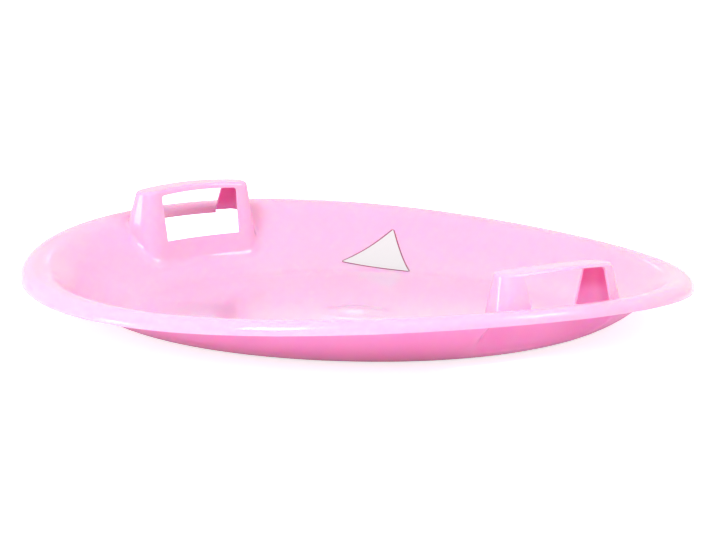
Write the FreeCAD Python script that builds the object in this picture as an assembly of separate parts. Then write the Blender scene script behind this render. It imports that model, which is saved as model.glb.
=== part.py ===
import FreeCAD, Part
import math
import os

# A saucer sled: a shallow moulded dish with a rolled rim and two hollow, windowed handles.
# Frame: +Z up, origin under the centre of the flat floor, handles on the X axis.
# Lengths are in millimetres, angles in degrees.

# Dish
rim_radius = 300.0
seat_depth = 48.5
wall = 2.0
wall_slope = 42.0
floor_bend = 96.0
crest_roll = 26.0
lip_roll = 11.0

# The rim of the thin moulding stands in a gentle saddle, high near the handles and low between them
saddle_rise = 9.9
saddle_turn = -9.5
saddle_ease = 24.0

# Dome in the middle of the floor, which keeps the injection point clear of the snow
dome_radius = 36.0
dome_height = 2.4

# Handles: hollow humps with drafted walls, open underneath, set in from the edge of the rim
handle_rise = 25.3
handle_setback = 34.0
handle_width = 22.0
handle_length = 123.0
handle_corner = 6.0
inner_draft = 10.8
outer_draft = 16.7
end_draft = 9.5

# The top of a handle arches along its length
handle_crown = 720.0

# Windows through the inner and the outer wall of a handle, which leave the grip bar over them.
# The inner one stops at a sill, the outer one runs down to the dish.
inner_window_width = 89.0
inner_window_draft = 2.6
inner_sill_drop = 49.3
bar_depth_inner = 5.4
outer_window_width = 95.0
bar_depth_outer = 2.4
window_corner = 3.0

# Triangular film on the side wall, on its layer of glue
label_side = 71.5
label_thickness = 0.3
label_glue = 0.2
label_tip = 2.0
label_setback = 73.5
label_azimuth = 134.2
label_turn = -11.7

# Counts and shares of the rings and cuts that shape the moulded surfaces
ring_stations = 24
bend_shares = (0, 0.2, 0.4, 0.6, 0.8, 1)
roll_shares = (1, 0.67, 0.33, 0)
lip_shares = (0, 0.2, 0.4, 0.6, 0.8, 1)
corner_shares = (-0.75, -0.5, -0.25, 0, 0.25, 0.5, 0.75)
overrun_share = 0.5
straight_share = 0.9

# Places that follow from the dimensions
slope = math.radians(wall_slope)
crest_radius = rim_radius - lip_roll
crest_height = wall + seat_depth
wall_run = (seat_depth - (floor_bend + crest_roll) * (1 - math.cos(slope))) / math.sin(slope)
floor_radius = crest_radius - (crest_roll + floor_bend) * math.sin(slope) - wall_run * math.cos(slope)
overrun = crest_height * overrun_share
handle_outer = rim_radius - handle_setback
handle_inner = handle_outer - handle_width
handle_middle = handle_outer - handle_width / 2
label_radius = rim_radius - label_setback

axis = FreeCAD.Vector(0, 0, 1)
origin = FreeCAD.Vector(0, 0, 0)


def saddle_share(radius):
    reach = max(radius - floor_radius, 0)
    full = rim_radius - floor_radius
    return reach ** 2 * (full + saddle_ease) / (full ** 2 * (reach + saddle_ease))


def saddle(radius, angle):
    return saddle_rise * saddle_share(radius) * math.cos(2 * (angle - math.radians(saddle_turn)))


def polar(radius, angle, height):
    return FreeCAD.Vector(radius * math.cos(angle), radius * math.sin(angle), height)


# Moulded surfaces: smooth closed rings round the axis, joined by narrow ruled bands

def ring(radius, height, follows_saddle=True):
    points = []
    for station in range(ring_stations):
        angle = 2 * math.pi * station / ring_stations
        rise = saddle(radius, angle) if follows_saddle else 0
        points.append(polar(radius, angle, height + rise))
    curve = Part.BSplineCurve()
    curve.interpolate(Points=points, PeriodicFlag=True, Parameters=list(range(ring_stations + 1)))
    return Part.Wire(curve.toShape())


def skin(*places):
    return Part.makeLoft([ring(*place) for place in places], False, True).Faces


def disc(*place):
    return [Part.Face(ring(*place))]


def closed(faces):
    shell = Part.makeShell(faces)
    shell.sewShape()
    solid = Part.makeSolid(shell)
    if solid.Volume < 0:
        solid.reverse()
    return solid


def seat_places(offset):
    # rings from the flat floor up to the rim crest, offset square to the seat side
    places = []
    for share in bend_shares:
        reach = floor_bend - offset
        radius = floor_radius + reach * math.sin(slope * share)
        places.append((radius, wall + floor_bend - reach * math.cos(slope * share)))
    for share in roll_shares:
        reach = crest_roll + offset
        radius = crest_radius - reach * math.sin(slope * share)
        places.append((radius, crest_height - crest_roll + reach * math.cos(slope * share)))
    return places


def lip_places(offset):
    # rings from the rim crest down to the outer edge
    places = []
    for share in lip_shares:
        turn = share * math.pi / 2
        reach = lip_roll + offset
        radius = crest_radius + reach * math.sin(turn)
        places.append((radius, crest_height - lip_roll + reach * math.cos(turn)))
    return places


def make_shell():
    seat = seat_places(0)
    under = seat_places(-wall)
    edge = skin(seat[-1], under[-1])
    return closed(disc(*seat[0]) + skin(*seat) + edge + skin(*under) + disc(*under[0]))


def make_ground():
    # everything under the seat side and the rim, to trim what stands on them
    seat = seat_places(0)
    foot = (rim_radius, -crest_height, False)
    return closed(disc(*seat[0]) + skin(*seat) + skin(*lip_places(0), foot) + disc(*foot))


def dome_cap(height):
    ball_radius = (dome_radius ** 2 + dome_height ** 2) / (2 * dome_height)
    ball = Part.makeSphere(ball_radius, axis * (height + dome_height - ball_radius))
    return ball.common(Part.makeCylinder(dome_radius, crest_height, axis * height))


def make_dish(hollows):
    dish = make_shell().fuse(dome_cap(wall)).cut(dome_cap(0))
    return dish.cut(hollows).removeSplitter()


def make_rim_lip():
    outer = lip_places(0)
    inner = lip_places(-wall)
    edges = skin(outer[-1], inner[-1]) + skin(inner[0], outer[0])
    return closed(skin(*outer) + skin(*inner) + edges)


# Handles

handle_top = crest_height + saddle(rim_radius, 0) + handle_rise
handle_slope = -2 * saddle_rise * saddle_share(handle_middle) / handle_middle
handle_tilt = math.degrees(math.atan(handle_slope * math.sin(-2 * math.radians(saddle_turn))))
end_angle = handle_length / 2 / handle_middle


def spread(drop, draft):
    return drop * math.tan(math.radians(draft))


def square_inset(inset, draft):
    return inset / math.cos(math.radians(draft))


def cone(top_radius, flare):
    # half of a solid cone round the sled's axis, on the handle's side
    low_drop = handle_top + overrun
    low_radius = top_radius + spread(low_drop, flare)
    high_radius = top_radius - spread(wall, flare)
    half = Part.makeCone(low_radius, high_radius, low_drop + wall, axis * -overrun, axis, 180)
    half.rotate(origin, axis, -90)
    return half


def end_sides(drop, inset):
    # directions and distances of the flat sides that round both ends of a handle
    sides = []
    for share in corner_shares:
        draft = end_draft + abs(share) * ((outer_draft if share > 0 else inner_draft) - end_draft)
        turn = share * math.pi / 2
        along = handle_outer - handle_corner if share > 0 else handle_inner + handle_corner
        reach = along * math.sin(turn) - handle_corner * math.cos(turn) + handle_corner
        reach = reach + spread(drop, draft) - square_inset(inset, draft)
        sides.append((end_angle + math.pi / 2 - turn, reach))
    return sides[::-1] + [(-direction, reach) for direction, reach in sides]


def end_corners(height, inset):
    sides = end_sides(handle_top - height, inset)
    points = []
    for (one, one_reach), (two, two_reach) in zip(sides, sides[1:] + sides[:1]):
        across = math.sin(two - one)
        x = (one_reach * math.sin(two) - two_reach * math.sin(one)) / across
        y = (two_reach * math.cos(one) - one_reach * math.cos(two)) / across
        points.append(FreeCAD.Vector(x, y, height))
    return points


def ends_block(inset):
    low = end_corners(-overrun, inset)
    high = end_corners(handle_top + wall, inset)
    outlines = [low, high]
    for place in range(len(low)):
        outlines.append([low[place - 1], low[place], high[place], high[place - 1]])
    return closed([Part.Face(Part.makePolygon(points + points[:1])) for points in outlines])


def crowned_block(inset):
    outer = cone(handle_outer - square_inset(inset, outer_draft), outer_draft)
    inner = cone(handle_inner + square_inset(inset, inner_draft), -inner_draft)
    pivot = FreeCAD.Vector(0, 0, handle_top - handle_crown)
    arch = Part.makeCylinder(handle_crown - inset, rim_radius + overrun, pivot, FreeCAD.Vector(1, 0, 0))
    return outer.cut(inner).common(ends_block(inset)).common(arch)


def window(width, draft, depth, sill_drop, near, far):
    # opening that passes one wall, with its top parallel to the crown and its corners rounded
    half = width / 2
    fall = half ** 2 / (2 * handle_crown)
    top = handle_top - depth
    low = handle_top - sill_drop
    low_half = half - spread(top - low, draft)
    left = FreeCAD.Vector(near, -half, top - fall)
    right = FreeCAD.Vector(near, half, top - fall)
    low_left = FreeCAD.Vector(near, -low_half, low)
    low_right = FreeCAD.Vector(near, low_half, low)
    arch = Part.Arc(left, FreeCAD.Vector(near, 0, top), right).toShape()
    sides = Part.makePolygon([right, low_right, low_left, left]).Edges
    block = Part.Face(Part.Wire([arch] + sides)).extrude(FreeCAD.Vector(far - near, 0, 0))
    long_edges = [e for e in block.Edges if abs(e.tangentAt(e.FirstParameter).x) > straight_share]
    return block.makeFillet(window_corner, long_edges)


def make_handle_forms():
    hollow = crowned_block(wall)
    inner_window = window(
        inner_window_width, inner_window_draft, bar_depth_inner, inner_sill_drop, floor_radius, handle_middle
    )
    outer_window = window(
        outer_window_width, 0, bar_depth_outer, handle_top, handle_middle, rim_radius + overrun
    )
    hump = crowned_block(0).cut([hollow, inner_window, outer_window])
    pivot = axis * (handle_top - handle_rise)
    for form in (hump, hollow):
        form.rotate(pivot, FreeCAD.Vector(1, 0, 0), handle_tilt)
    return hump, hollow


def turned(shape, angle):
    copy = shape.copy()
    copy.rotate(origin, axis, angle)
    return copy


# Label

def make_label():
    back = seat_places(label_glue)
    face = seat_places(label_glue + label_thickness)
    film = closed(skin(*back) + skin(*face) + skin(back[0], face[0]) + skin(back[-1], face[-1]))
    reach = label_side / math.sqrt(3)
    corners = [polar(reach, turn * 2 * math.pi / 3, -reach) for turn in range(3)]
    triangle = Part.Face(Part.makePolygon(corners + corners[:1]))
    block = triangle.extrude(axis * (2 * reach))
    tips = [e for e in block.Edges if abs(e.tangentAt(e.FirstParameter).z) > straight_share]
    block = block.makeFillet(label_tip, tips)
    bend = math.asin((label_radius - floor_radius) / floor_bend)
    place = math.radians(label_azimuth)
    height = wall + floor_bend * (1 - math.cos(bend)) + saddle(label_radius, place)
    block.rotate(origin, axis, label_turn)
    block.rotate(origin, FreeCAD.Vector(0, 1, 0), -math.degrees(bend))
    block.translate(FreeCAD.Vector(label_radius, 0, height))
    return film.common(turned(block, label_azimuth))


def main():
    hump, hollow = make_handle_forms()
    ground = make_ground()
    nodes = {
        "dish": make_dish([hollow, turned(hollow, 180)]),
        "rim_lip": make_rim_lip(),
        "right_handle": hump.cut(ground),
        "left_handle": turned(hump, 180).cut(ground),
        "label": make_label(),
    }
    os.makedirs("parts", exist_ok=True)
    for name, shape in nodes.items():
        print(name, len(shape.Solids), shape.isValid(), round(shape.Volume), shape.optimalBoundingBox())
        shape.Solids[0].exportStep(os.path.join("parts", name + ".step"))


main()
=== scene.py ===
import math

import bmesh
import bpy
from mathutils import Matrix, Vector


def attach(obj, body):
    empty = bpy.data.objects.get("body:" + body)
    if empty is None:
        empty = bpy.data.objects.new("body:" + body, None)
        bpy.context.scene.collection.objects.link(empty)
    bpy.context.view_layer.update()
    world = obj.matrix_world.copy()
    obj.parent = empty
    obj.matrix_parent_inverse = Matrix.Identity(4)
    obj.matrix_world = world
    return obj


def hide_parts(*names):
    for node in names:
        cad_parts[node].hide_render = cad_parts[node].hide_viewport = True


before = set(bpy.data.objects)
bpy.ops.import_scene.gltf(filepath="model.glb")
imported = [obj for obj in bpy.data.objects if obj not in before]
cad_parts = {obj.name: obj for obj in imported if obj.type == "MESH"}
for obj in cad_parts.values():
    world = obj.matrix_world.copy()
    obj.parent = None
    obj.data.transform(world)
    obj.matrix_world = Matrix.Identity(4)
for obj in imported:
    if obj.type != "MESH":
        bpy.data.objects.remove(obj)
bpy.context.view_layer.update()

mm = 0.001
white = (1.0, 1.0, 1.0, 1.0)
colorA, colorB, mixed = 6, 7, 2       # colour sockets of a Mix node, by number because names repeat there


def hexColor(text):
    # sRGB hex to the linear colour that shaders use
    values = [int(text[place:place + 2], 16) / 255 for place in (1, 3, 5)]
    linear = [v / 12.92 if v <= 0.04045 else ((v + 0.055) / 1.055) ** 2.4 for v in values]
    return (*linear, 1.0)


def addNode(tree, kind, settings=None, inputs=None):
    # a linked input is given as (node, socket), any other as its value; sockets go by name or number
    node = tree.nodes.new(kind)
    for name, value in (settings or {}).items():
        setattr(node, name, value)
    for socket, value in (inputs or {}).items():
        if isinstance(value, tuple) and isinstance(value[0], bpy.types.Node):
            tree.links.new(value[0].outputs[value[1]], node.inputs[socket])
        else:
            node.inputs[socket].default_value = value
    return node


def newMaterial(name):
    material = bpy.data.materials.new(name)
    material.use_nodes = True
    material.node_tree.nodes.clear()
    return material, material.node_tree


def makePiece(name, bm, material, slotName, *nodes):
    bmesh.ops.transform(bm, matrix=Matrix.Scale(mm, 4), verts=bm.verts[:])
    mesh = bpy.data.meshes.new(name)
    bm.to_mesh(mesh)
    bm.free()
    mesh.polygons.foreach_set("use_smooth", [True] * len(mesh.polygons))
    mesh.materials.append(material)
    piece = bpy.data.objects.new(name, mesh)
    bpy.context.scene.collection.objects.link(piece)
    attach(piece, "root")
    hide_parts(*nodes)
    print(name, len(mesh.polygons), "faces")
    return piece


# Low-density polyethylene, injection moulded in a polished tool and a little translucent: crisp
# highlights, and light that passes a thin wall comes out deep magenta. Sizes are in millimetres.
plastic = dict(
    name="mouldedPolyethylene", color="#FFBDDD", deep="#FEB8DA", ior=1.51, shine=0.4,
    cloud=180.0, cloudDetail=2.0, cloudRange=(0.3, 0.7), roughLow=0.11, roughHigh=0.14,
    peel=5.0, peelDetail=1.0, peelHeight=0.012, subsurface=1.0, reach=(4.0, 0.6, 1.6),
)
# Its core side, underneath and inside the handles: off the plain tool face, so duller; its pink is made
# deeper as painted shade of the underside, and deeper still up inside the handles, as painted shade for
# the light that goes from wall to wall there
coreSideShadedPlastic = dict(
    # painted shade: color and deep here are a deeper pink than the seat side's, standing in for the shade
    # underneath
    plastic, name="coreSidePolyethyleneWithPaintedShade", color="#FFA6D8", deep="#FF9ED4", shine=0.22,
    roughLow=0.19, roughHigh=0.24, peel=2.0, peelHeight=0.01,
    # painted shade up inside the handles: a deeper pink, blended in between these two heights
    hollow="#F286BE", hollowFrom=54.0, hollowTo=66.0,
)


def makePlastic(finish):
    material, tree = newMaterial(finish["name"])
    place = addNode(tree, "ShaderNodeTexCoord")
    cloud = addNode(tree, "ShaderNodeTexNoise", inputs={
        "Vector": (place, "Object"), "Scale": 1 / (finish["cloud"] * mm),
        "Detail": finish["cloudDetail"]})
    tint = addNode(tree, "ShaderNodeMix", dict(data_type="RGBA"), {
        "Factor": (cloud, "Fac"), colorA: hexColor(finish["color"]), colorB: hexColor(finish["deep"])})
    # painted shade: above a height the colour turns deeper, standing in for the shade up inside the
    # handles
    if "hollow" in finish:
        height = addNode(tree, "ShaderNodeSeparateXYZ", inputs={"Vector": (place, "Object")})
        inside = addNode(tree, "ShaderNodeMapRange", dict(interpolation_type="SMOOTHSTEP"), {
            "Value": (height, "Z"), "From Min": finish["hollowFrom"] * mm,
            "From Max": finish["hollowTo"] * mm})
        tint = addNode(tree, "ShaderNodeMix", dict(data_type="RGBA"), {
            "Factor": (inside, "Result"), colorA: (tint, mixed), colorB: hexColor(finish["hollow"])})
    rough = addNode(tree, "ShaderNodeMapRange", inputs={
        "Value": (cloud, "Fac"), "From Min": finish["cloudRange"][0], "From Max": finish["cloudRange"][1],
        "To Min": finish["roughLow"], "To Max": finish["roughHigh"]})
    peel = addNode(tree, "ShaderNodeTexNoise", inputs={
        "Vector": (place, "Object"), "Scale": 1 / (finish["peel"] * mm),
        "Detail": finish["peelDetail"]})
    bump = addNode(tree, "ShaderNodeBump", inputs={
        "Height": (peel, "Fac"), "Strength": 1.0, "Distance": finish["peelHeight"] * mm})
    shader = addNode(tree, "ShaderNodeBsdfPrincipled", inputs={
        "Base Color": (tint, mixed), "Roughness": (rough, "Result"), "Normal": (bump, "Normal"),
        "IOR": finish["ior"], "Specular IOR Level": finish["shine"],
        "Subsurface Weight": finish["subsurface"], "Subsurface Scale": mm,
        "Subsurface Radius": finish["reach"]})
    addNode(tree, "ShaderNodeOutputMaterial", inputs={"Surface": (shader, "BSDF")})
    return material


# The moulding's own shape: dish, dome, rolled rim and saddle, in millimetres
dish = dict(
    rimRadius=300.0, seatDepth=48.5, wall=2.0, wallSlope=math.radians(42.0), floorBend=96.0,
    crestRoll=26.0, lipRoll=11.0, saddleRise=9.9, saddleTurn=math.radians(-9.5), saddleEase=24.0,
    domeRadius=36.0, domeHeight=2.4, domeCapShare=0.7, domeCapSteps=6, domeFootSteps=4,
    floorSteps=8, bendSteps=14, wallSteps=4, crestSteps=8, lipSteps=10, turnSteps=288, mergeGap=0.01,
    rimEdge=0.5, rimEdgeSegments=2, rimEdgeAngle=math.radians(50),
)
crestRadius = dish["rimRadius"] - dish["lipRoll"]
crestHeight = dish["wall"] + dish["seatDepth"]
bentHeight = (dish["floorBend"] + dish["crestRoll"]) * (1 - math.cos(dish["wallSlope"]))
wallRun = (dish["seatDepth"] - bentHeight) / math.sin(dish["wallSlope"])
bendReach = dish["floorBend"] * math.sin(dish["wallSlope"])
crestReach = dish["crestRoll"] * math.sin(dish["wallSlope"])
floorRadius = crestRadius - crestReach - bendReach - wallRun * math.cos(dish["wallSlope"])


def saddle(radius, angle):
    reach = max(radius - floorRadius, 0)
    full = dish["rimRadius"] - floorRadius
    share = reach ** 2 * (full + dish["saddleEase"]) / (full ** 2 * (reach + dish["saddleEase"]))
    return dish["saddleRise"] * share * math.cos(2 * (angle - dish["saddleTurn"]))


def seatHeight(radius):
    # height of the seat side from the floor out to the rim, without the dome and the saddle
    bend = dish["floorBend"]
    if radius < floorRadius:
        return dish["wall"]
    if radius < floorRadius + bendReach:
        return dish["wall"] + bend - math.sqrt(bend ** 2 - (radius - floorRadius) ** 2)
    if radius < crestRadius - crestReach:
        start = dish["wall"] + bend * (1 - math.cos(dish["wallSlope"]))
        return start + (radius - floorRadius - bendReach) * math.tan(dish["wallSlope"])
    roll = dish["crestRoll"] if radius < crestRadius else dish["lipRoll"]
    return crestHeight - roll + math.sqrt(max(roll ** 2 - (crestRadius - radius) ** 2, 0))


def seatPoint(x, y):
    radius = math.hypot(x, y)
    return Vector((x, y, seatHeight(radius) + saddle(radius, math.atan2(y, x))))


def drawLine(bm, start, way, steps):
    vert = start
    for step in range(steps):
        made = bmesh.ops.extrude_vert_indiv(bm, verts=[vert])
        vert = made["verts"][0]
        vert.co += way / steps
    return vert


def drawArc(bm, start, centre, angle, steps):
    made = bmesh.ops.spin(
        bm, geom=[start], cent=centre, axis=(0, 1, 0), dvec=(0, 0, 0), angle=angle,
        steps=steps, use_merge=False, use_duplicate=False)
    return [item for item in made["geom_last"] if isinstance(item, bmesh.types.BMVert)][0]


def drawProfile(bm):
    # seat side from the middle of the dome out to the lower edge of the rim; gives the lip's first row
    floor, slope = dish["wall"], dish["wallSlope"]
    top = floor + dish["domeHeight"]
    capAngle = 2 * math.atan(dish["domeHeight"] / dish["domeRadius"])
    ballSum = dish["domeRadius"] / math.sin(capAngle)
    capBall = ballSum * dish["domeCapShare"]
    footBall = ballSum - capBall
    vert = bm.verts.new((0, 0, top))
    vert = drawArc(bm, vert, (0, 0, top - capBall), capAngle, dish["domeCapSteps"])
    vert = drawArc(bm, vert, (dish["domeRadius"], 0, floor + footBall), -capAngle, dish["domeFootSteps"])
    vert = drawLine(bm, vert, Vector((floorRadius - dish["domeRadius"], 0, 0)), dish["floorSteps"])
    vert = drawArc(bm, vert, (floorRadius, 0, floor + dish["floorBend"]), -slope, dish["bendSteps"])
    run = Vector((math.cos(slope), 0, math.sin(slope))) * wallRun
    vert = drawLine(bm, vert, run, dish["wallSteps"])
    crestCentre = (crestRadius, 0, crestHeight - dish["crestRoll"])
    vert = drawArc(bm, vert, crestCentre, slope, dish["crestSteps"])
    lipCentre = (crestRadius, 0, crestHeight - dish["lipRoll"])
    drawArc(bm, vert, lipCentre, math.pi / 2, dish["lipSteps"])
    bm.verts.index_update()
    return len(bm.verts) - dish["lipSteps"]


def spinDish(bm, rowLayer, columnLayer):
    # full turn of the profile; each point keeps its row and column, then the rim takes its saddle
    for row, vert in enumerate(sorted(bm.verts, key=lambda v: (v.co.x, -v.co.z))):
        vert[rowLayer] = row
    bmesh.ops.spin(
        bm, geom=bm.verts[:] + bm.edges[:], cent=(0, 0, 0), axis=(0, 0, 1), dvec=(0, 0, 0),
        angle=2 * math.pi, steps=dish["turnSteps"], use_merge=True, use_duplicate=False)
    bmesh.ops.remove_doubles(bm, verts=bm.verts[:], dist=dish["mergeGap"])
    bmesh.ops.recalc_face_normals(bm, faces=bm.faces[:])
    if min(bm.faces, key=lambda f: f.calc_center_median().length).normal.z < 0:
        bmesh.ops.reverse_faces(bm, faces=bm.faces[:])
    for vert in bm.verts:
        angle = math.atan2(vert.co.y, vert.co.x)
        vert[columnLayer] = round(angle / (2 * math.pi) * dish["turnSteps"])
        vert.co.z += saddle(vert.co.xy.length, angle)


# Handles: drawn up out of the dish's own sheet, ring by ring, then opened by their windows.
# Sizes are in millimetres, columns and cells in steps of the dish's turn.
handle = dict(
    rise=25.3, setback=34.0, width=22.0, length=123.0, corner=9.4, crown=720.0,
    innerDraft=math.radians(10.8), outerDraft=math.radians(16.7), endDraft=math.radians(9.5),
    innerWindow=89.0, innerWindowDraft=math.radians(2.6), sillDrop=49.3, barInner=5.4,
    outerWindow=92.6, outerLeans=(math.radians(-4.8), math.radians(2.2)), barOuter=2.4,
    windowCorner=3.0, topEdge=3.0, outerTopEdge=2.2,
    foot=5.5, endFoot=9.0, outerFoot=4.0, slotFoot=0.6, footClear=1.5, slotLedge=3.7,
    columns=17, windowColumn=11, cornerCells=3, innerRadius=206.0, outerRadius=287.0,
    apronShares=(0.33, 0.67), footShares=(0.2, 0.4, 0.6, 0.8), legShares=(0.3, 0.5, 0.7),
    edgeShares=(0.25, 0.5, 0.75), closeShare=0.4, outerLowShare=0.8, settleTries=20, settleShare=0.8,
)
outerWall = dish["rimRadius"] - handle["setback"]
innerWall = outerWall - handle["width"]
middleWall = outerWall - handle["width"] / 2
handleTop = crestHeight + saddle(dish["rimRadius"], 0) + handle["rise"]
endAngle = handle["length"] / 2 / middleWall


def handleTilt():
    # the handle leans with the rim's saddle along its own length
    step = 0.001
    return math.atan((saddle(middleWall, step) - saddle(middleWall, -step)) / (2 * step * middleWall))


tilt = Matrix.Translation((0, 0, handleTop - handle["rise"])) @ Matrix.Rotation(handleTilt(), 4, "X")
tilt = tilt @ Matrix.Translation((0, 0, handle["rise"] - handleTop))


def cornerPoint(wallRadius, side, out, rounding, share):
    # side 1 is the inner wall, -1 the outer; share runs from the wall, 0, to the end, 1
    reach = wallRadius + side * rounding
    centre = Vector((math.sqrt(reach ** 2 - (out - rounding) ** 2), out - rounding))
    toWall = centre * (-side / reach)
    angle = share * math.pi / 2
    way = (toWall * math.cos(angle) + Vector((0, 1)) * math.sin(angle)).normalized()
    return Matrix.Rotation(endAngle, 2) @ (centre + way * rounding)


def alongWall(wallRadius, half, cornerAt, column):
    # even cells over the window with two close ones at its edge, then the leg up to the corner
    edge = handle["windowColumn"]
    corner = handle["windowCorner"]
    if column <= edge - 2:
        out = (half - corner) * column / (edge - 2)
    elif column == edge - 1:
        out = half - corner * handle["closeShare"]
    else:
        share = (column - edge) / (handle["columns"] - handle["cornerCells"] - edge)
        out = half + (cornerAt.y - half) * share
    return Vector((math.sqrt(wallRadius ** 2 - out ** 2), out))


def wallPlan(drop, column, row, rows, slide=0.0):
    # plan of one place on the four walls, this far under the level of the handle's top
    near = innerWall - drop * math.tan(handle["innerDraft"])
    far = outerWall + drop * math.tan(handle["outerDraft"])
    out = drop * math.tan(handle["endDraft"])
    rounding = handle["corner"] + out
    count = abs(column)
    cells = handle["cornerCells"]
    if row == 0 or row == rows:
        wallRadius, side = (near, 1) if row == 0 else (far, -1)
        half = handle["outerWindow"] / 2 + drop * math.tan(handle["outerLeans"][column > 0])
        if row == 0:
            half = handle["innerWindow"] / 2
            half -= (drop - handle["barInner"]) * math.tan(handle["innerWindowDraft"])
        if count <= handle["columns"] - cells:
            cornerAt = cornerPoint(wallRadius, side, out, rounding, 0)
            point = alongWall(wallRadius, half, cornerAt, count)
            if slide:
                point.y -= slide
                point.x = math.sqrt(wallRadius ** 2 - point.y ** 2)
        else:
            share = (count - handle["columns"] + cells) / cells / 2
            point = cornerPoint(wallRadius, side, out, rounding, share)
    elif row <= cells:
        point = cornerPoint(near, 1, out, rounding, (1 + row / cells) / 2)
    elif row >= rows - cells:
        point = cornerPoint(far, -1, out, rounding, (1 + (rows - row) / cells) / 2)
    else:
        start = cornerPoint(near, 1, out, rounding, 1)
        end = cornerPoint(far, -1, out, rounding, 1)
        point = start.lerp(end, (row - cells) / (rows - 2 * cells))
    if column < 0:
        point.y = -point.y
    return point


def wallPoint(drop, *place, slide=0.0):
    plan = wallPlan(drop, *place, slide=slide)
    return tilt @ Vector((plan.x, plan.y, handleTop - drop))


def crownFall(y):
    return handle["crown"] - math.sqrt(handle["crown"] ** 2 - y ** 2)


def underCrown(depth, *place):
    # drop of a place this deep under the arched top
    return depth + crownFall(wallPlan(depth, *place).y)


def outward(drop, *place):
    # direction in plan in which a wall spreads, since its draft widens it downwards
    way = wallPlan(drop + 1, *place) - wallPlan(drop, *place)
    return way.normalized()


def footDrop(*place):
    # drop at which a wall meets the dish
    drop = handle["sillDrop"]
    for attempt in range(handle["settleTries"]):
        point = wallPoint(drop, *place)
        drop += handle["settleShare"] * (point.z - seatPoint(point.x, point.y).z)
    return drop


def rounded(start, corner, end, share):
    # place on a quarter round that leaves both sides smoothly
    weight = 2 * share * (1 - share) * math.cos(math.pi / 4)
    total = (1 - share) ** 2 + weight + share ** 2
    return (start * (1 - share) ** 2 + corner * weight + end * share ** 2) / total


def blendEnds(inner, outer, row, rows):
    return inner + (outer - inner) * row / rows


def footFillet(column, row, rows):
    # fillet at the foot of a wall: wider round the handle's ends, and hardly any along the slot
    straight = handle["columns"] - handle["cornerCells"]
    atEnd = max(abs(column) - straight, 0) / handle["cornerCells"]
    inner = handle["foot"] + (handle["endFoot"] - handle["foot"]) * atEnd
    size = blendEnds(inner, handle["outerFoot"], row, rows)
    if row == rows:
        size = handle["slotFoot"] + (size - handle["slotFoot"]) * atEnd
    return size


def topEdge(row, rows):
    return blendEnds(handle["topEdge"], handle["outerTopEdge"], row, rows)


def crownPoint(column, row, rows):
    # edge of the arched top, inside its rounding
    plan = wallPlan(0, column, row, rows) - outward(0, column, row, rows) * topEdge(row, rows)
    return tilt @ Vector((plan.x, plan.y, handleTop - crownFall(plan.y)))


def capPoint(column, row, rows):
    # patch between the four edges of the arched top
    most = handle["columns"]
    u = (column + most) / (2 * most)
    v = row / rows
    point = crownPoint(column, 0, rows).lerp(crownPoint(column, rows, rows), v)
    point += crownPoint(-most, row, rows).lerp(crownPoint(most, row, rows), u)
    low = crownPoint(-most, 0, rows).lerp(crownPoint(most, 0, rows), u)
    high = crownPoint(-most, rows, rows).lerp(crownPoint(most, rows, rows), u)
    point -= low.lerp(high, v)
    flat = tilt.inverted() @ point
    flat.z = handleTop - crownFall(flat.y)
    return tilt @ flat


def windowRounding(distance):
    # how far a window's edge comes in, this far from its corner
    corner = handle["windowCorner"]
    if distance <= 0:
        return corner * (1 - math.cos(math.pi / 4))
    return corner - math.sqrt(corner ** 2 - (corner - distance) ** 2) if distance < corner else 0


def windowLevels(low, top, column, row, rows):
    # rings from a window's sill to its top, drawn in to round its upper corners
    place = (column, row, rows)
    corner = handle["windowCorner"]
    near = corner * handle["closeShare"]
    fromEdge = abs(column) - handle["windowColumn"]
    drops = [low, low - near, low - corner]
    drops += [low + (top - low) * share for share in handle["legShares"]]
    points = [wallPoint(drop, *place) for drop in drops]
    for distance in (corner, near, 0):
        drop = top + distance
        slide = 0
        if row in (0, rows) and fromEdge == 0:
            slide = windowRounding(distance)
        if row in (0, rows) and distance == 0 and fromEdge in (-1, 0):
            drop += windowRounding(0 if fromEdge == 0 else near)
        points.append(wallPoint(drop, *place, slide=slide))
    return points


def handleLevels(column, row, rows):
    # places of one column of the handle, from the dish up to the edge of the arched top
    place = (column, row, rows)
    foot = footDrop(*place)
    fillet = footFillet(*place)
    base = wallPoint(foot, *place)
    way = outward(foot, *place) * fillet
    onDish = seatPoint(base.x + way.x, base.y + way.y)
    onWall = wallPoint(foot - fillet, *place)
    points = [onDish]
    points += [rounded(onDish, base, onWall, share) for share in handle["footShares"]]
    points.append(onWall)
    top = underCrown(blendEnds(handle["barInner"], handle["barOuter"], row, rows), *place)
    outerLow = top + handle["outerLowShare"] * (foot - fillet - top)
    low = blendEnds(handle["sillDrop"], outerLow, row, rows)
    low = min(low, foot - fillet - handle["footClear"])
    points.append(wallPoint((low + foot - fillet) / 2, *place))
    points += windowLevels(low, top, *place)
    onEdge = wallPoint(underCrown(topEdge(row, rows), *place), *place)
    topCorner = wallPoint(underCrown(0, *place), *place)
    onCrown = crownPoint(*place)
    points.append(onEdge)
    points += [rounded(onEdge, topCorner, onCrown, share) for share in handle["edgeShares"]]
    points.append(onCrown)
    return points


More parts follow.
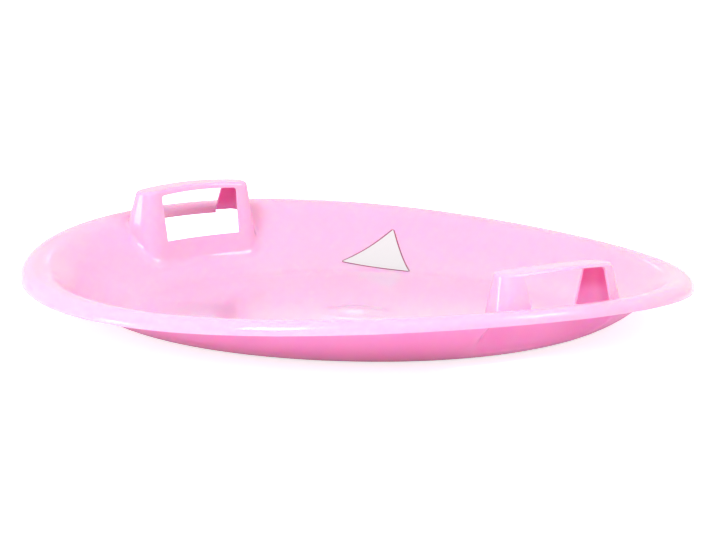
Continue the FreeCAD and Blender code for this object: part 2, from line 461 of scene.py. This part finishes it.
def raiseHandle(bm, layers, lipRow, turn):
    rowLayer, columnLayer, levelLayer = layers
    turnSteps = dish["turnSteps"]
    shift = round(turn / (2 * math.pi) * turnSteps)
    most = handle["columns"]
    radii = {}
    for vert in bm.verts:
        radii.setdefault(vert[rowLayer], vert.co.xy.length)
    inside = [row for row, radius in radii.items()
              if handle["innerRadius"] <= radius <= handle["outerRadius"] and row < lipRow]
    firstRow, rows = min(inside), max(inside) - min(inside)

    def gridPlace(vert):
        column = (vert[columnLayer] - shift + turnSteps // 2) % turnSteps - turnSteps // 2
        return column, vert[rowLayer] - firstRow

    def inRegion(vert):
        column, row = gridPlace(vert)
        return abs(column) <= most and 0 <= row <= rows and not vert[levelLayer]

    spin = Matrix.Rotation(turn, 4, "Z")
    faces = [face for face in bm.faces if all(inRegion(vert) for vert in face.verts)]
    edges = {}
    for vert in {vert for face in faces for vert in face.verts}:
        column, row = gridPlace(vert)
        if abs(column) == most or row in (0, rows):
            points = handleLevels(column, row, rows)
            start = spin.inverted() @ vert.co
            apron = [start.lerp(points[0], share) for share in handle["apronShares"]]
            edges[(column, row)] = [seatPoint(point.x, point.y) for point in apron] + points
    for level in range(len(next(iter(edges.values())))):
        made = bmesh.ops.extrude_face_region(bm, geom=faces)
        bmesh.ops.delete(bm, geom=[face for face in faces if face.is_valid], context="FACES")
        faces = [item for item in made["geom"] if isinstance(item, bmesh.types.BMFace)]
        for vert in {vert for face in faces for vert in face.verts}:
            place = gridPlace(vert)
            vert[levelLayer] = level + 1
            point = edges[place][level] if place in edges else capPoint(*place, rows)
            vert.co = spin @ point
    return gridPlace, rows


def openWindows(bm, levelLayer, gridPlace, rows):
    edge = handle["windowColumn"]
    footLevel = len(handle["apronShares"]) + 1                  # first ring on the dish at the foot
    sillLevel = footLevel + len(handle["footShares"]) + 3       # past the fillet's end and half way up
    topLevel = sillLevel + len(handle["legShares"]) + 5         # past three rings at each corner
    doomed = []
    for face in bm.faces:
        places = [(*gridPlace(vert), vert[levelLayer]) for vert in face.verts]
        if any(abs(column) > edge or not level for column, row, level in places):
            continue
        inner = all(row == 0 and sillLevel <= level <= topLevel for column, row, level in places)
        outer = all(row == rows and footLevel <= level <= topLevel for column, row, level in places)
        if inner or outer:
            doomed.append(face)
    bmesh.ops.delete(bm, geom=doomed, context="FACES")

    def onSlot(vert):
        column, row = gridPlace(vert)
        return abs(column) <= edge and row == rows and vert[levelLayer] == footLevel

    # the dish runs a little way in under the handle
    sill = [line for line in bm.edges if line.is_boundary and all(onSlot(vert) for vert in line.verts)]
    made = bmesh.ops.extrude_edge_only(bm, edges=sill)
    for vert in [item for item in made["geom"] if isinstance(item, bmesh.types.BMVert)]:
        inner = vert.co.xy * (1 - handle["slotLedge"] / vert.co.xy.length)
        vert.co = seatPoint(inner.x, inner.y)


def makeMoulding(material, coreShadedMaterial):
    bm = bmesh.new()
    rowLayer, columnLayer, levelLayer = [
        bm.verts.layers.int.new(name) for name in ("row", "column", "level")]
    lipRow = drawProfile(bm)
    spinDish(bm, rowLayer, columnLayer)
    for turn in (0, math.pi):
        gridPlace, rows = raiseHandle(bm, (rowLayer, columnLayer, levelLayer), lipRow, turn)
        openWindows(bm, levelLayer, gridPlace, rows)
    piece = makePiece(
        "moulding", bm, material, "pink_polyethylene", "dish", "rim_lip", "right_handle", "left_handle")
    piece.data.materials.append(coreShadedMaterial)
    sheet = piece.modifiers.new("wall", "SOLIDIFY")
    sheet.thickness = dish["wall"] * mm
    sheet.offset = -1
    sheet.use_even_offset = False
    sheet.material_offset = 1
    soft = piece.modifiers.new("edges", "BEVEL")
    soft.width = dish["rimEdge"] * mm
    soft.segments = dish["rimEdgeSegments"]
    soft.limit_method = "ANGLE"
    soft.angle_limit = dish["rimEdgeAngle"]
    soft.harden_normals = True


# Self-adhesive polypropylene film, printed only with a border: white, smooth and satin
film = dict(
    side=71.5, thickness=0.3, glue=0.2, tip=2.0, tipLeans=(-0.5, -0.25, 0, 0.25, 0.5),
    setback=73.5, azimuth=math.radians(134.2), turn=math.radians(-11.7), cells=30, settleTries=20,
    border=1.1, borderEdge=0.25, uvSize=100.0, color="#DAD8D9", lineColor="#A03C66",
    roughness=0.38, ior=1.49, grit=0.8, gritDetail=1.0, gritHeight=0.004,
)
filmReach = film["side"] / math.sqrt(3)      # from the middle to a sharp corner


def filmSides():
    # outward direction of each of the three edges, in the film's own plane
    angles = [math.pi / 3 + 2 * math.pi / 3 * side for side in range(3)]
    return [Vector((math.cos(angle), math.sin(angle), 0)) for angle in angles]


def makeFilmMaterial():
    material, tree = newMaterial("satinPolypropyleneFilm")
    place = addNode(tree, "ShaderNodeUVMap", dict(uv_map="film"))
    far = 0.0                                # distance out towards the nearest edge
    for way in filmSides():
        out = addNode(tree, "ShaderNodeVectorMath", dict(operation="DOT_PRODUCT"), {
            0: (place, "UV"), 1: way})
        more = addNode(tree, "ShaderNodeMath", dict(operation="MAXIMUM"), {0: far, 1: (out, "Value")})
        far = (more, "Value")
    inside = filmReach / 2 - film["border"]
    line = addNode(tree, "ShaderNodeMapRange", dict(interpolation_type="SMOOTHSTEP"), {
        "Value": far, "From Min": (inside - film["borderEdge"]) / film["uvSize"],
        "From Max": (inside + film["borderEdge"]) / film["uvSize"]})
    ink = addNode(tree, "ShaderNodeMix", dict(data_type="RGBA"), {
        "Factor": (line, "Result"), colorA: hexColor(film["color"]), colorB: hexColor(film["lineColor"])})
    solid = addNode(tree, "ShaderNodeTexCoord")
    grit = addNode(tree, "ShaderNodeTexNoise", inputs={
        "Vector": (solid, "Object"), "Scale": 1 / (film["grit"] * mm), "Detail": film["gritDetail"]})
    bump = addNode(tree, "ShaderNodeBump", inputs={
        "Height": (grit, "Fac"), "Strength": 1.0, "Distance": film["gritHeight"] * mm})
    shader = addNode(tree, "ShaderNodeBsdfPrincipled", inputs={
        "Base Color": (ink, mixed), "Roughness": film["roughness"], "IOR": film["ior"],
        "Normal": (bump, "Normal")})
    addNode(tree, "ShaderNodeOutputMaterial", inputs={"Surface": (shader, "BSDF")})
    return material


def trim(bm, way, distance):
    bmesh.ops.bisect_plane(
        bm, geom=bm.verts[:] + bm.edges[:] + bm.faces[:], plane_co=way * distance, plane_no=way,
        clear_outer=True)


def cutFilm(bm):
    # triangle with rounded tips, flat, with its own plane as its UV map
    uvLayer = bm.loops.layers.uv.new("film")
    bmesh.ops.create_grid(bm, x_segments=film["cells"], y_segments=film["cells"], size=filmReach)
    for way in filmSides():
        trim(bm, way, filmReach / 2)
    for corner in range(3):
        for lean in film["tipLeans"]:
            angle = corner * 2 * math.pi / 3 + lean * math.pi / 3
            middle = (filmReach - 2 * film["tip"]) * math.cos(lean * math.pi / 3)
            trim(bm, Vector((math.cos(angle), math.sin(angle), 0)), middle + film["tip"])
    for face in bm.faces:
        for loop in face.loops:
            loop[uvLayer].uv = loop.vert.co.xy / film["uvSize"]


def makeFilm(material):
    bm = bmesh.new()
    cutFilm(bm)
    radius = dish["rimRadius"] - film["setback"]
    wallLean = math.asin((radius - floorRadius) / dish["floorBend"])
    height = seatHeight(radius) + saddle(radius, film["azimuth"])
    place = Matrix.Rotation(film["azimuth"], 4, "Z") @ Matrix.Translation((radius, 0, height))
    place = place @ Matrix.Rotation(-wallLean, 4, "Y") @ Matrix.Rotation(film["turn"], 4, "Z")
    up = (place.to_3x3() @ Vector((0, 0, 1))).normalized()
    bmesh.ops.transform(bm, matrix=place, verts=bm.verts[:])
    for vert in bm.verts:
        for attempt in range(film["settleTries"]):              # settle on the dish, square to the film
            vert.co -= up * (vert.co.z - seatPoint(vert.co.x, vert.co.y).z) * up.z
        vert.co += up * (film["glue"] + film["thickness"])
    bmesh.ops.recalc_face_normals(bm, faces=bm.faces[:])
    if sum(face.normal.z for face in bm.faces) < 0:
        bmesh.ops.reverse_faces(bm, faces=bm.faces[:])
    piece = makePiece("stickerFilm", bm, material, "sticker_film", "label")
    sheet = piece.modifiers.new("thickness", "SOLIDIFY")
    sheet.thickness = film["thickness"] * mm
    sheet.offset = -1


# Camera fitted to the rim's outline, and a white studio with softboxes round the sled.
# Lengths are in metres, but the lens and the sensor are in millimetres.
studio = dict(
    lens=136.95, sensor=36.0, farClip=100.0,
    place=(1.8344, -1.5424, 0.4891), aim=(0, 0, 0.0403), roll=math.radians(1.461),
    worldLevel=0.55, floorSize=30.0, floorDrop=0.0005, floorColor="#FCFCFC", floorRoughness=0.9,
    floorLift=0.76, glossLift=0.25,
)
softboxes = dict(                      # degrees round, degrees up, metres off, width, height, watts
    keyBox=(-75, 44, 2.5, 0.7, 0.7, 34.0),
    rightBox=(35, 44, 2.5, 0.8, 0.8, 17.0),
    leftStrip=(-122, 9, 2.5, 0.6, 0.4, 8.0),
    lowBox=(-45, 5, 2.5, 1.4, 0.5, 6.5),
    frontStrip=(-25, 62, 2.5, 2.4, 0.12, 6.0),
    backStrip=(140.6, 18, 2.5, 0.12, 0.35, 0.15),
)


def makeCamera():
    data = bpy.data.cameras.new("camera")
    data.lens = studio["lens"]
    data.sensor_width = studio["sensor"]
    data.sensor_fit = "HORIZONTAL"
    data.clip_end = studio["farClip"]
    camera = bpy.data.objects.new("camera", data)
    bpy.context.scene.collection.objects.link(camera)
    place = Vector(studio["place"])
    look = (Vector(studio["aim"]) - place).to_track_quat("-Z", "Y").to_matrix().to_4x4()
    camera.matrix_world = Matrix.Translation(place) @ look @ Matrix.Rotation(studio["roll"], 4, "Z")
    bpy.context.scene.camera = camera
    print("camera ready")


def whiteRays(tree, straight, gloss):
    # one level for what the camera sees, straight on or through a clear wall, and one for gloss
    path = addNode(tree, "ShaderNodeLightPath")
    levels = {"Is Camera Ray": straight, "Is Transmission Ray": straight, "Is Glossy Ray": gloss}
    most = 0.0
    for kind, level in levels.items():
        ray = addNode(tree, "ShaderNodeMath", dict(operation="MULTIPLY"), {0: (path, kind), 1: level})
        more = addNode(tree, "ShaderNodeMath", dict(operation="MAXIMUM"), {0: most, 1: (ray, "Value")})
        most = (more, "Value")
    return most


def makeWorld():
    world = bpy.data.worlds.new("studio")
    world.use_nodes = True
    tree = world.node_tree
    tree.nodes.clear()
    level = addNode(tree, "ShaderNodeMapRange", inputs={
        "Value": whiteRays(tree, 1.0, 1.0), "To Min": studio["worldLevel"], "To Max": 1.0})
    sky = addNode(tree, "ShaderNodeBackground", inputs={"Color": white, "Strength": (level, "Result")})
    addNode(tree, "ShaderNodeOutputWorld", inputs={"Surface": (sky, "Background")})
    bpy.context.scene.world = world
    bpy.context.scene.view_settings.view_transform = "Standard"


def makeLamps():
    for name, (around, up, away, width, height, watts) in softboxes.items():
        lamp = bpy.data.lights.new(name, "AREA")
        lamp.energy = watts
        lamp.shape = "RECTANGLE"
        lamp.size, lamp.size_y = width, height
        box = bpy.data.objects.new(name, lamp)
        turn = Matrix.Rotation(math.radians(around), 3, "Z") @ Matrix.Rotation(math.radians(-up), 3, "Y")
        box.location = turn @ Vector((away, 0, 0))
        box.rotation_euler = (-box.location).to_track_quat("-Z", "Y").to_euler()
        bpy.context.scene.collection.objects.link(box)


def makeFloor():
    bm = bmesh.new()
    bmesh.ops.create_grid(bm, x_segments=1, y_segments=1, size=studio["floorSize"] / 2)
    mesh = bpy.data.meshes.new("floor")
    bm.to_mesh(mesh)
    bm.free()
    floor = bpy.data.objects.new("floor", mesh)
    floor.location.z = -studio["floorDrop"]
    bpy.context.scene.collection.objects.link(floor)
    material, tree = newMaterial("studioPaper")
    shader = addNode(tree, "ShaderNodeBsdfPrincipled", inputs={
        "Base Color": hexColor(studio["floorColor"]), "Roughness": studio["floorRoughness"],
        "Emission Color": white,
        "Emission Strength": whiteRays(tree, studio["floorLift"], studio["glossLift"])})
    addNode(tree, "ShaderNodeOutputMaterial", inputs={"Surface": (shader, "BSDF")})
    mesh.materials.append(material)
    print("studio ready")


makeMoulding(makePlastic(plastic), makePlastic(coreSideShadedPlastic))
makeFilm(makeFilmMaterial())
makeCamera()
makeWorld()
makeLamps()
makeFloor()
